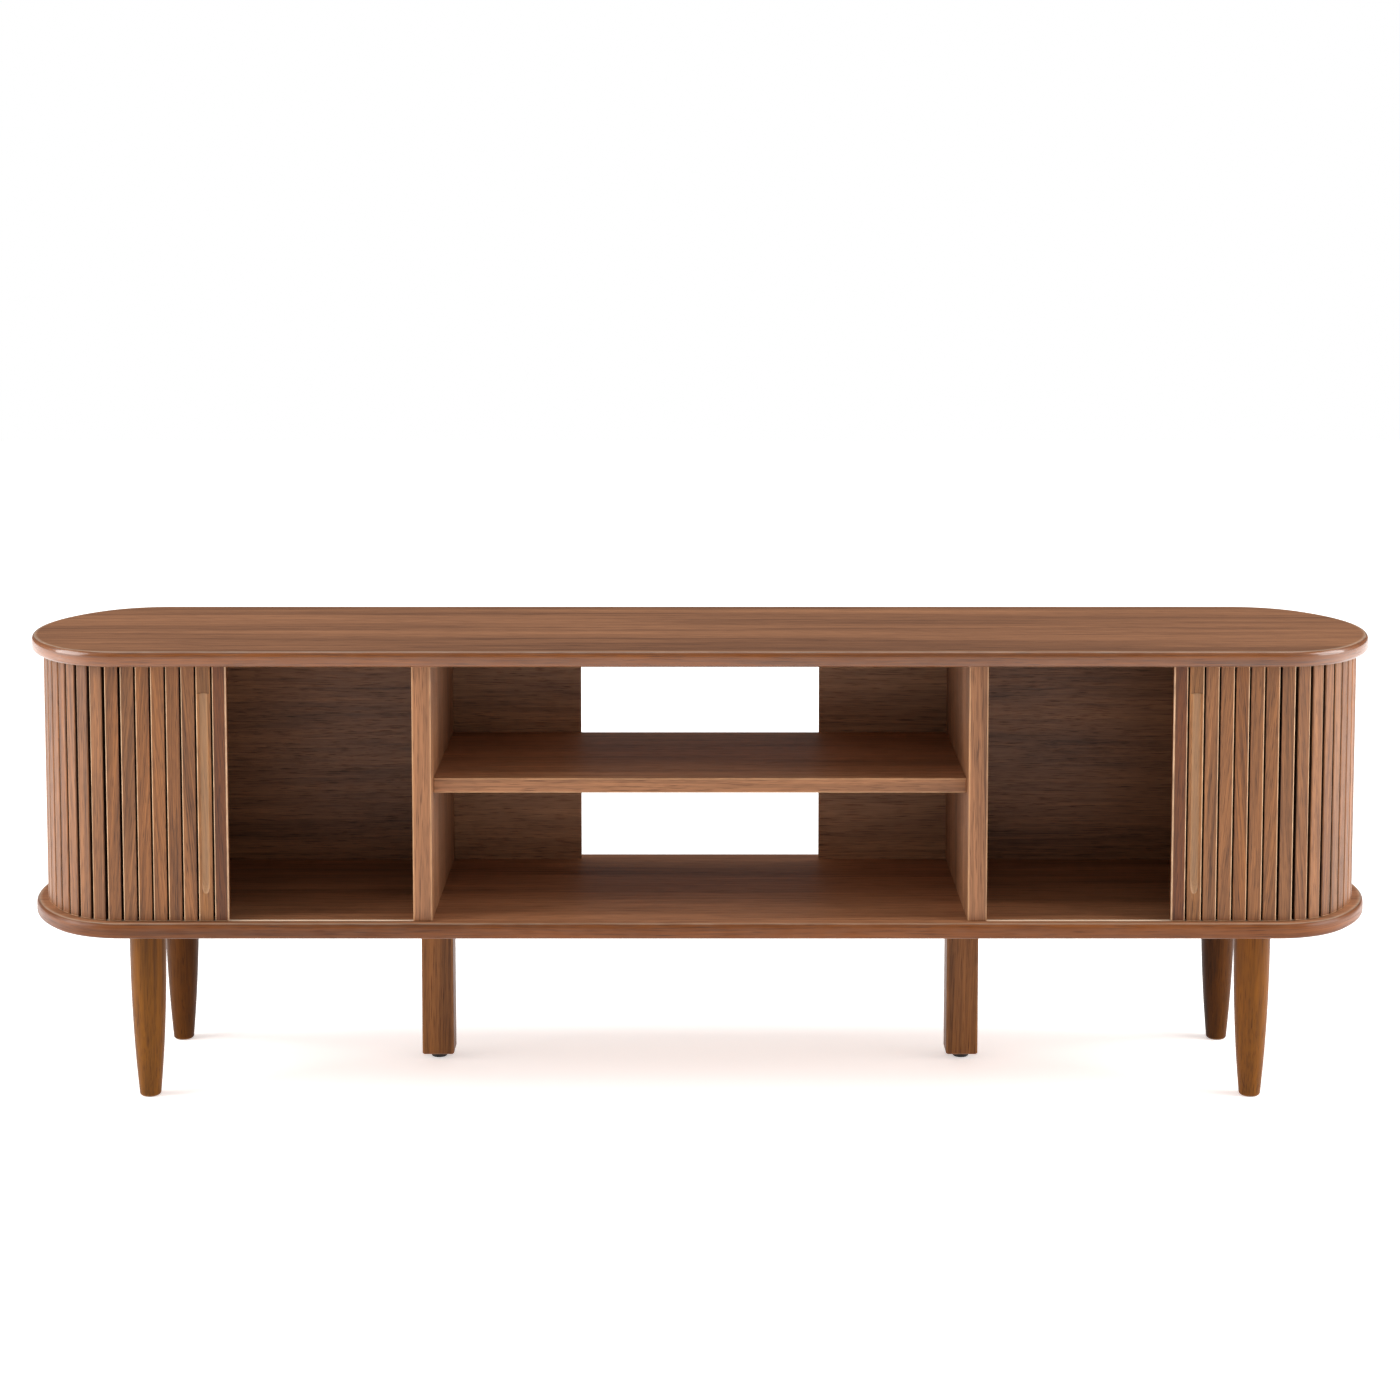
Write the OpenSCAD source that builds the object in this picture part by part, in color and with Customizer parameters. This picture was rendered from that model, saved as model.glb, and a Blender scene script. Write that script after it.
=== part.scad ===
// Low media cabinet with oval ends and two tambour doors, standing on six legs.
// The origin is on the floor under the middle of the cabinet, the front faces -Y and Z is up.

/* [Carcass] */
// Overall width of the slabs
cabinet_w = 1650; // [1560:10:1800]
// Overall depth of the slabs
cabinet_d = 350; // [340:2:360]
// Clear height between the two slabs
bay_h = 310; // [280:1:340]
// Thickness of the slabs and the shelf
board_t = 18; // [16:0.5:22]
// Radius where the long edge turns into the end
corner_r = 110; // [106:1:116]
// Radius of the oval end itself
end_r = 207; // [200:1:214]

/* [Dividers, shelf and backs] */
// Thickness of a divider
divider_t = 23; // [20:1:26]
// Distance from the middle to a divider's inner face
divider_x = 320; // [300:1:330]
// Height of the shelf's underside above the bottom slab
shelf_z = 150; // [120:1:170]
// Distance that the shelf stands back from the slab's front edge
shelf_setback = 42; // [30:1:60]
// Thickness of the back panels
back_t = 6; // [4:0.5:6]
// Distance from the middle of the cabinet's depth to the front of the back panels
back_y = 145; // [135:1:145]
// Half the width of the open window between the centre back panels
window_x = 154; // [120:1:200]
// Outer end of the panels behind the door bays
bay_back_x = 640; // [610:1:642]

/* [Legs and feet] */
// Height of the bottom slab above the floor
leg_h = 210; // [160:1:240]
// Diameter of a round leg at its top
leg_top_d = 44; // [40:1:50]
// Diameter of a round leg at its foot
leg_foot_d = 26; // [22:1:30]
// Distance from the middle to a round leg's axis, along the width
leg_x = 670; // [640:1:680]
// Distance from the middle to a round leg's axis, along the depth
leg_y = 113; // [95:1:118]
// Side of a square centre leg
post_w = 40; // [34:1:44]
// Place of the centre legs along the depth
post_y = 40; // [0:1:60]
// Chamfer around the bottom of a centre leg
post_chamfer = 3; // [1:0.5:5]
// Height of the levelling pad under a centre leg
pad_h = 7; // [5:0.5:10]
// Diameter of the levelling pad
pad_d = 20; // [16:1:26]

/* [Tambour doors] */
// Distance that the slats' faces stand in from the slabs' edge
door_inset = 14; // [12:1:14]
// Thickness of a slat
slat_t = 9; // [7:0.5:10]
// Distance from one slat to the next
slat_pitch = 18; // [17.5:0.1:18.2]
// Gap between two slats on the straight track
slat_gap = 2.2; // [1.6:0.1:2.6]
// Width of the leading stile
stile_w = 16.6; // [14:0.1:18]
// Width of the slat with the finger recess
handle_w = 17; // [15:0.1:18]
// Chamfer on the outer edges of a slat
slat_chamfer = 1; // [0.5:0.1:1.5]
// Length of the finger recess
recess_l = 244; // [160:2:260]
// Radius of the cutter that makes the finger recess
recess_r = 5.5; // [4:0.5:6]
// Place of the door's leading edge when it is fully open
door_open_x = 563; // [560:1:564]
// Width of the track groove
groove_w = 4.4; // [4:0.1:5]
// Depth of the track groove
groove_d = 6; // [4:0.5:8]

/* [Hardware] */
// Diameter of the wooden dowels
dowel_d = 8; // [6:1:10]
// Length of the wooden dowels
dowel_l = 24; // [20:1:24]
// Diameter of the hanger bolts
bolt_d = 8; // [6:1:8]
// Outer diameter of the threaded inserts
insert_d = 12; // [11:1:14]
// Height of the threaded inserts
insert_h = 13; // [10:1:14]

/* [Hidden] */
// Heights of the slabs
bottom_z = leg_h;
bay_z = bottom_z + board_t;
top_z = bay_z + bay_h;
bay_mid_z = bay_z + bay_h / 2;

// Centres of the arcs that make the oval ends: the corner arc touches the end arc from inside
end_cx = cabinet_w / 2 - end_r;
corner_cy = cabinet_d / 2 - corner_r;
corner_cx = end_cx + sqrt(pow(end_r - corner_r, 2) - pow(corner_cy, 2));
meet_angle = atan2(corner_cy, corner_cx - end_cx);

// The canvas at the back of the slats is the line that keeps its length round the ends
canvas_inset = door_inset + slat_t;
canvas_y = cabinet_d / 2 - canvas_inset;
canvas_corner_r = corner_r - canvas_inset;
canvas_end_r = end_r - canvas_inset;
corner_run = canvas_corner_r * (90 - meet_angle) * PI / 180;
end_run = canvas_end_r * 2 * meet_angle * PI / 180;
// Distances along the track at which its straights and arcs begin, from the middle of the front
track_1 = corner_cx;
track_2 = track_1 + corner_run;
track_3 = track_2 + end_run;
track_4 = track_3 + corner_run;

// Slats are counted from 0 at the stile: 1 has the recess, and the next ones never reach a curve
last_lead_slat = 6;
last_slat = 38;
slat_groups = concat(
    [for (k = [7 : 10]) [k, k]],
    [for (k = [11 : 2 : 23]) [k, k + 1]],
    [[25, 27], [28, 30], [31, 34], [35, 38]]
);
plain_w = slat_pitch - slat_gap;
handle_s = door_open_x + stile_w + slat_gap;
plain_s = handle_s + handle_w + slat_gap;
slat_clear = 0.5;
slat_z = bay_z + slat_clear;
slat_h = bay_h - 2 * slat_clear;
tongue_t = 3.8;
tongue_h = groove_d - 1;
canvas_t = 0.6;
canvas_margin = 12;
recess_depth = recess_r - 1;

// The tail of an open door rests on its stop, and a stop is screwed down inside the track
tail_s = plain_s + slat_pitch * (last_slat - 1) - slat_gap;
tail_x = corner_cx - (tail_s - track_4);
stop_gap = 0.6;
stop_w = 14;
stop_d = 10;
stop_h = 22;

divider_front = canvas_y + slat_t;
divider_out = divider_x + divider_t;
divider_back = back_y + back_t;
shelf_front = cabinet_d / 2 - shelf_setback;
back_tongue = 4;
fit = 0.1;
bore_clear = 0.05;
dowel_ys = [-110, 0, 95];
dowel_half = dowel_l / 2;
stud_d = 6;
stud_top = 34;
neck_h = 3;
neck_d = 12;
foot_clear = 0.05;
bolt_bottom = leg_h - 30;
bolt_top = leg_h + insert_h - 1;
leg_steps = 12;
leg_power = 2.2;
foot_round = 4;
far = 1000;
round_fn = 96;
$fn = round_fn;

function two_digits(n) = n < 10 ? str("0", n) : str(n);
function group_name(g) = g[0] == g[1]
    ? str("slat_", two_digits(g[0] + 1))
    : str("slats_", two_digits(g[0] + 1), "_", two_digits(g[1] + 1));

// Oval plate: a straight middle, four corner arcs and the two end arcs between their meeting points
module oval_plate(inset, z, h) {
    reach = end_r + corner_r;
    translate([-corner_cx, inset - cabinet_d / 2, z])
        cube([2 * corner_cx, cabinet_d - 2 * inset, h]);
    for (sx = [-1, 1], sy = [-1, 1])
        translate([sx * corner_cx, sy * corner_cy, z])
            cylinder(r = corner_r - inset, h = h);
    for (turn = [0, 180])
        rotate([0, 0, turn])
            translate([end_cx, 0, z])
                intersection() {
                    cylinder(r = end_r - inset, h = h);
                    linear_extrude(height = h)
                        polygon([
                            [0, 0],
                            [reach * cos(meet_angle), -reach * sin(meet_angle)],
                            [reach * cos(meet_angle), reach * sin(meet_angle)]
                        ]);
                }
}

// The track groove of both doors: from the divider along the front, round the end, to the stop
module track_grooves(z, h) {
    middle = door_inset + slat_t / 2;
    intersection() {
        difference() {
            oval_plate(middle - groove_w / 2, z, h);
            oval_plate(middle + groove_w / 2, z - 1, h + 2);
        }
        union() {
            for (sx = [-1, 1]) {
                translate([sx * (divider_out + far / 2), -far / 2, z + h / 2])
                    cube([far, far, h], center = true);
                translate([sx * (tail_x - stop_gap + far / 2), far / 2 - 1, z + h / 2])
                    cube([far, far, h], center = true);
            }
        }
    }
}

module back_grooves(z) {
    for (sx = [-1, 1]) {
        translate([sx * (window_x + divider_x) / 2, back_y + back_t / 2, z])
            cube([divider_x - window_x + fit, back_t + fit, back_tongue + fit], center = true);
        translate([sx * (divider_out + bay_back_x) / 2, back_y + back_t / 2, z])
            cube([bay_back_x - divider_out + fit, back_t + fit, back_tongue + fit], center = true);
    }
}

module divider_dowel_set(z, r) {
    for (sx = [-1, 1], y = dowel_ys)
        translate([sx * (divider_x + divider_t / 2), y, z - dowel_half])
            cylinder(r = r, h = dowel_l);
}

module shelf_dowel_set(r) {
    for (sx = [-1, 1], y = dowel_ys)
        translate([sx * divider_x - dowel_half, y, bay_z + shelf_z + board_t / 2])
            rotate([0, 90, 0])
                cylinder(r = r, h = dowel_l);
}

// One copy of the children on every leg's axis
module at_legs() {
    for (sx = [-1, 1], sy = [-1, 1])
        translate([sx * leg_x, sy * leg_y, 0])
            children();
    for (sx = [-1, 1])
        translate([sx * (divider_x + divider_t / 2), post_y, 0])
            children();
}

module top_slab() {
    color("sienna")
        difference() {
            oval_plate(0, top_z, board_t);
            track_grooves(top_z - 1, groove_d + 1);
            back_grooves(top_z + back_tongue / 2);
            divider_dowel_set(top_z, dowel_d / 2 + bore_clear);
        }
}

module bottom_slab() {
    color("sienna")
        difference() {
            oval_plate(0, bottom_z, board_t);
            track_grooves(bay_z - groove_d, groove_d + 1);
            back_grooves(bay_z - back_tongue / 2);
            divider_dowel_set(bay_z, dowel_d / 2 + bore_clear);
            at_legs()
                translate([0, 0, bottom_z - 1])
                    cylinder(d = insert_d, h = insert_h + 1);
        }
}

module divider(side) {
    color("saddlebrown")
        difference() {
            translate([side * (divider_x + divider_t / 2), (divider_back - divider_front) / 2, bay_mid_z])
                cube([divider_t, divider_back + divider_front, bay_h], center = true);
            divider_dowel_set(bay_z, dowel_d / 2 + bore_clear);
            divider_dowel_set(top_z, dowel_d / 2 + bore_clear);
            shelf_dowel_set(dowel_d / 2 + bore_clear);
        }
}

module shelf() {
    color("sienna")
        difference() {
            translate([-divider_x, -shelf_front, bay_z + shelf_z])
                cube([2 * divider_x, shelf_front + back_y, board_t]);
            shelf_dowel_set(dowel_d / 2 + bore_clear);
        }
}

// A back panel has a tongue along its top and bottom edges that sits in the slabs' grooves
module back_panel(side, x_in, x_out) {
    color("saddlebrown")
        translate([side * (x_in + x_out) / 2, back_y + back_t / 2, bay_mid_z])
            cube([x_out - x_in, back_t, bay_h + 2 * back_tongue], center = true);
}

// A round leg keeps its width in its upper half and then draws in towards a rounded foot
module round_leg(sx, sy) {
    top_r = leg_top_d / 2;
    foot_r = leg_foot_d / 2;
    color("peru")
        translate([sx * leg_x, sy * leg_y, 0])
            difference() {
                rotate_extrude()
                    polygon(concat(
                        [[0, 0], [foot_r - foot_round, 0]],
                        [for (a = [15 : 30 : 75])
                            [foot_r - foot_round * (1 - sin(a)), foot_round * (1 - cos(a))]],
                        [for (i = [1 : leg_steps])
                            let (f = i / leg_steps)
                            [top_r - (top_r - foot_r) * pow(1 - f, leg_power),
                                foot_round + (leg_h - foot_round) * f]],
                        [[0, leg_h]]
                    ));
                translate([0, 0, bolt_bottom])
                    cylinder(d = bolt_d + 2 * bore_clear, h = leg_h);
            }
}

module centre_leg(side) {
    color("saddlebrown")
        translate([side * (divider_x + divider_t / 2), post_y, pad_h])
            difference() {
                intersection() {
                    translate([-post_w / 2, -post_w / 2, 0])
                        cube([post_w, post_w, leg_h - pad_h]);
                    union() {
                        translate([0, 0, post_chamfer])
                            translate([-post_w, -post_w, 0])
                                cube([2 * post_w, 2 * post_w, leg_h]);
                        rotate([0, 0, 45])
                            cylinder(
                                d1 = (post_w - 2 * post_chamfer) * sqrt(2),
                                d2 = post_w * sqrt(2),
                                h = post_chamfer,
                                $fn = 4
                            );
                    }
                }
                translate([0, 0, bolt_bottom - pad_h])
                    cylinder(d = bolt_d + 2 * bore_clear, h = leg_h);
                translate([0, 0, -1])
                    cylinder(d = stud_d + 2 * foot_clear, h = stud_top + 1);
            }
}

// A levelling foot turns on its stud inside the centre leg
module levelling_foot(side) {
    color("dimgray")
        translate([side * (divider_x + divider_t / 2), post_y, 0])
            rotate_extrude()
                polygon([
                    [0, 0],
                    [pad_d / 2 - 1, 0],
                    [pad_d / 2, 1],
                    [pad_d / 2, pad_h - neck_h],
                    [neck_d / 2, pad_h - neck_h],
                    [neck_d / 2, pad_h - foot_clear],
                    [stud_d / 2, pad_h - foot_clear],
                    [stud_d / 2, stud_top],
                    [0, stud_top]
                ]);
}

module leg_inserts() {
    color("silver")
        at_legs()
            translate([0, 0, bottom_z])
                difference() {
                    cylinder(r = insert_d / 2 - bore_clear, h = insert_h);
                    translate([0, 0, -1])
                        cylinder(r = bolt_d / 2 + bore_clear, h = insert_h + 2);
                }
}

module leg_bolts() {
    color("silver")
        at_legs()
            translate([0, 0, bolt_bottom + 1])
                cylinder(d = bolt_d, h = bolt_top - bolt_bottom - 1);
}

module divider_dowels() {
    color("burlywood")
        for (z = [bay_z, top_z])
            divider_dowel_set(z, dowel_d / 2);
}

module shelf_dowels() {
    color("burlywood")
        shelf_dowel_set(dowel_d / 2);
}

module door_stops() {
    color("burlywood")
        for (sx = [-1, 1])
            translate([sx * (tail_x - stop_gap - stop_w / 2), canvas_y + stop_d / 2, bay_z + stop_h / 2])
                cube([stop_w, stop_d, stop_h], center = true);
}

// A point of the track and the direction that a slat faces there, at distance s along the canvas
function track_point(s) =
    s < track_1 ? [s, -canvas_y, -90]
    : s < track_2 ? arc_point(corner_cx, -corner_cy, canvas_corner_r, -90, s - track_1)
    : s < track_3 ? arc_point(end_cx, 0, canvas_end_r, -meet_angle, s - track_2)
    : s < track_4 ? arc_point(corner_cx, corner_cy, canvas_corner_r, meet_angle, s - track_3)
    : [corner_cx - (s - track_4), canvas_y, 90];
function arc_point(cx, cy, r, from, run) =
    let (a = from + run / r * 180 / PI)
    [cx + r * cos(a), cy + r * sin(a), a];
function slat_start(k) = k == 0 ? door_open_x : k == 1 ? handle_s : plain_s + slat_pitch * (k - 2);
function slat_width(k) = k == 0 ? stile_w : k == 1 ? handle_w : plain_w;

// Places its children on the track of one door, with +X along the track and -Y outwards
module on_track(side, s) {
    p = track_point(s);
    mirror([side < 0 ? 1 : 0, 0, 0])
        translate([p[0], p[1], 0])
            rotate([0, 0, p[2] + 90])
                children();
}

// A slat: flat outer face with chamfered arrises and a slightly relieved inner face
module slat_bar(w, z, h) {
    relief = slat_chamfer / 2;
    translate([0, 0, z])
        linear_extrude(height = h)
            polygon([
                [-w / 2 + relief, 0],
                [-w / 2, -relief],
                [-w / 2, slat_chamfer - slat_t],
                [-w / 2 + slat_chamfer, -slat_t],
                [w / 2 - slat_chamfer, -slat_t],
                [w / 2, slat_chamfer - slat_t],
                [w / 2, -relief],
                [w / 2 - relief, 0]
            ]);
}

module slat(side, k) {
    w = slat_width(k);
    color("sienna")
        on_track(side, slat_start(k) + w / 2)
            slat_bar(w, slat_z, slat_h);
}

// A slat that never reaches a curve also has tongues that run in both tracks
module tongued_slat(side, k) {
    w = slat_width(k);
    slat(side, k);
    color("sienna")
        on_track(side, slat_start(k) + w / 2)
            translate([0, -slat_t / 2, bay_mid_z])
                cube([w - 4 * slat_chamfer, tongue_t, slat_h + 2 * tongue_h], center = true);
}

module door_stile(side) {
    tongued_slat(side, 0);
}

module handle_slat(side) {
    color("sienna")
        difference() {
            tongued_slat(side, 1);
            on_track(side, slat_start(1) + handle_w / 2)
                translate([0, -slat_t - recess_r + recess_depth, bay_mid_z - recess_l / 2])
                    cylinder(r = recess_r, h = recess_l);
        }
}

module lead_slats(side) {
    for (k = [2 : last_lead_slat])
        tongued_slat(side, k);
}

// The strip of canvas glued behind the slats that stay on the straight
module door_canvas(side) {
    canvas_l = slat_start(last_lead_slat) + plain_w - door_open_x;
    color("tan")
        on_track(side, door_open_x + canvas_l / 2)
            translate([0, canvas_t / 2, bay_mid_z])
                cube([canvas_l, canvas_t, slat_h - 2 * canvas_margin], center = true);
}

module slat_group(side, g) {
    for (k = [g[0] : g[1]])
        slat(side, k);
}

top_slab();
bottom_slab();
divider(-1);  // left_divider
divider(1);  // right_divider
shelf();
back_panel(-1, divider_out, bay_back_x);  // left_bay_back
back_panel(1, divider_out, bay_back_x);  // right_bay_back
back_panel(-1, window_x, divider_x);  // left_centre_back
back_panel(1, window_x, divider_x);  // right_centre_back
round_leg(-1, -1);  // front_left_leg
round_leg(1, -1);  // front_right_leg
round_leg(-1, 1);  // rear_left_leg
round_leg(1, 1);  // rear_right_leg
centre_leg(-1);  // left_centre_leg
centre_leg(1);  // right_centre_leg
levelling_foot(-1);  // left_levelling_foot
levelling_foot(1);  // right_levelling_foot
leg_inserts();
leg_bolts();
divider_dowels();
shelf_dowels();
door_stops();
door_stile(-1);  // left_door_stile
handle_slat(-1);  // left_handle_slat
lead_slats(-1);  // left_lead_slats
door_canvas(-1);  // left_door_canvas
door_stile(1);  // right_door_stile
handle_slat(1);  // right_handle_slat
lead_slats(1);  // right_lead_slats
door_canvas(1);  // right_door_canvas
for (g = slat_groups) {
    slat_group(-1, g);
    slat_group(1, g);
}
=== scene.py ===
import math
import bpy
import numpy as np
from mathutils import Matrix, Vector


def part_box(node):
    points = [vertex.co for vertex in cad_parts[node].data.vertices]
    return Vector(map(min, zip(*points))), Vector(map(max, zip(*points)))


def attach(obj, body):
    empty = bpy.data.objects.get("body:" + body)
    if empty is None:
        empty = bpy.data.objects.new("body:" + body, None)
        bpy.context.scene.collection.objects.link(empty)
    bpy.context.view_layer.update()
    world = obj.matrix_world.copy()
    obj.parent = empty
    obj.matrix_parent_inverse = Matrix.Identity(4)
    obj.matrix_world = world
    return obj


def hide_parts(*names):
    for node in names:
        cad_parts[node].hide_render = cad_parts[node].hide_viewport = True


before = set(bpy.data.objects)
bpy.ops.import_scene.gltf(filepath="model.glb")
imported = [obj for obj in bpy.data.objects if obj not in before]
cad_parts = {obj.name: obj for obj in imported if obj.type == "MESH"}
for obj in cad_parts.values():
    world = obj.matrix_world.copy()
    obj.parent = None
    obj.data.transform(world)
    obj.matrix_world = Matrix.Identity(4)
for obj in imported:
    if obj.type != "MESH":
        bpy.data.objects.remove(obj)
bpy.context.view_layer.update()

draw = np.random.default_rng(11)
print("frame loaded,", len(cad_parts), "nodes")

camera = {
    "place": (0, -3.505, 1.134), "pitch": 5.19, "lens": 73.36, "sensor": 36, "shift": -0.2, "farthest": 100,
}
softLights = {
    "leftSoft": {"place": (-3.2, -0.5, 1.45), "aim": (-0.6, 0, 0.35), "size": (2.2, 2.2), "power": 118},
    "rightSoft": {"place": (3.2, -0.5, 1.45), "aim": (0.6, 0, 0.35), "size": (2.2, 2.2), "power": 122},
    "topSoft": {"place": (0, -0.1, 3.2), "aim": (0, 0, 0.4), "size": (4.0, 2.0), "power": 33},
}
backdrop = {
    "seen": 1.0, "lighting": 0.60, "mirrored": 0.12, "floorSize": 16.0,
    "floorColour": (0.93, 0.925, 0.915, 1), "floorPatches": (0.96, 0.955, 0.95, 1),
    "glow": (0.45, 0.9), "glowFrom": 0.9, "glowTo": 3.4,
}


# The camera faces the front, pitched down from level, and its vertical shift does the rest of the framing
def placeCamera():
    data = bpy.data.cameras.new("mainCamera")
    data.lens = camera["lens"]
    data.sensor_width = camera["sensor"]
    data.shift_y = camera["shift"]
    data.clip_end = camera["farthest"]
    body = bpy.data.objects.new("mainCamera", data)
    body.location = camera["place"]
    body.rotation_euler = (math.radians(90 - camera["pitch"]), 0, 0)
    bpy.context.scene.collection.objects.link(body)
    bpy.context.scene.camera = body


# Each soft light is a rectangle, turned so that its own -Z points from its place to its aim
def placeLights():
    for name, light in softLights.items():
        data = bpy.data.lights.new(name, "AREA")
        data.shape = "RECTANGLE"
        data.size, data.size_y = light["size"]
        data.energy = light["power"]
        lamp = bpy.data.objects.new(name, data)
        lamp.location = light["place"]
        towards = Vector(light["aim"]) - Vector(light["place"])
        lamp.rotation_euler = towards.to_track_quat("-Z", "Y").to_euler()
        bpy.context.scene.collection.objects.link(lamp)


# A node with its inputs set: a socket is linked, anything else is a plain value
def addNode(tree, kind, inputs=None, **settings):
    node = tree.nodes.new("ShaderNode" + kind)
    for key, value in settings.items():
        setattr(node, key, value)
    for key, value in (inputs or {}).items():
        if isinstance(value, bpy.types.NodeSocket):
            tree.links.new(value, node.inputs[key])
        else:
            node.inputs[key].default_value = value
    return node


# One step of arithmetic on values that change over the surface, such as a * b + c
def maths(tree, operation, a, b=0.0, c=0.0, clamp=False):
    return addNode(tree, "Math", {0: a, 1: b, 2: c}, operation=operation, use_clamp=clamp).outputs[0]


# A vector with each of its parts multiplied by its own scale
def stretched(tree, vector, scale):
    return addNode(tree, "VectorMath", {0: vector, 1: scale}, operation="MULTIPLY").outputs[0]


# Noise from 0 to 1 whose lumps measure one over the scale, in metres, along each direction
def noise(tree, vector, scale, detail=2.0, rough=0.5):
    inputs = {"Vector": stretched(tree, vector, scale), "Scale": 1.0, "Detail": detail, "Roughness": rough}
    return addNode(tree, "TexNoise", inputs).outputs["Fac"]


# Two colours mixed: a * (1 - share) + b * share, or a * b in that share with the multiply blend
def mixed(tree, share, a, b, blend="MIX"):
    node = addNode(tree, "Mix", {0: share, 6: a, 7: b}, data_type="RGBA", blend_type=blend)
    return node.outputs[2]


# An empty shader group, with the sockets of its input node and of its output node
def newGroup(name, inputs, outputs):
    group = bpy.data.node_groups.new(name, "ShaderNodeTree")
    for label, kind, value in inputs:
        socket = group.interface.new_socket(label, in_out="INPUT", socket_type="NodeSocket" + kind)
        if value is not None:
            socket.default_value = value
    for label, kind in outputs:
        group.interface.new_socket(label, in_out="OUTPUT", socket_type="NodeSocket" + kind)
    return group, group.nodes.new("NodeGroupInput").outputs, group.nodes.new("NodeGroupOutput").inputs


# The world is white to the camera, and a weaker white as the light that it gives and as what gloss mirrors
def makeSky():
    world = bpy.data.worlds.new("paleSky")
    bpy.context.scene.world = world
    world.use_nodes = True
    tree = world.node_tree
    tree.nodes.clear()
    path = addNode(tree, "LightPath").outputs
    mirrorInputs = {0: path["Is Glossy Ray"], 3: backdrop["lighting"], 4: backdrop["mirrored"]}
    unseen = addNode(tree, "MapRange", mirrorInputs).outputs[0]
    strength = addNode(tree, "MapRange", {0: path["Is Camera Ray"], 3: unseen, 4: backdrop["seen"]})
    sky = addNode(tree, "Background", {"Color": (1, 1, 1, 1), "Strength": strength.outputs[0]})
    addNode(tree, "OutputWorld", {"Surface": sky.outputs["Background"]})


# Sizes are lumps for each metre along, across and into the grain; shares are how much each layer lightens
figure = {
    "swaySize": (2.5, 14, 14), "swayReach": (0, 0.010, 0.010), "bandSize": (0.9, 26, 26),
    "lineSize": (3.0, 200, 200), "fibreSize": (14, 800, 800), "poreSize": (26, 950, 950),
    "patchSize": (35, 120, 120), "contours": 95.0, "poreFrom": 0.57, "poreTo": 0.69,
    "bandShare": 2.2, "contourShare": 0.07, "lineShare": 1.5, "fibreShare": 0.5, "wornShare": 0.72,
    "poreTint": (0.35, 0.3, 0.28, 1), "glueTint": (0.10, 0.08, 0.08, 1),
    "poreRough": 0.12, "fibreRough": 0.16, "wornRough": -0.05,
    "lineHeight": 0.3, "fibreHeight": 0.5, "poreHeight": -0.7,
}


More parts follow.
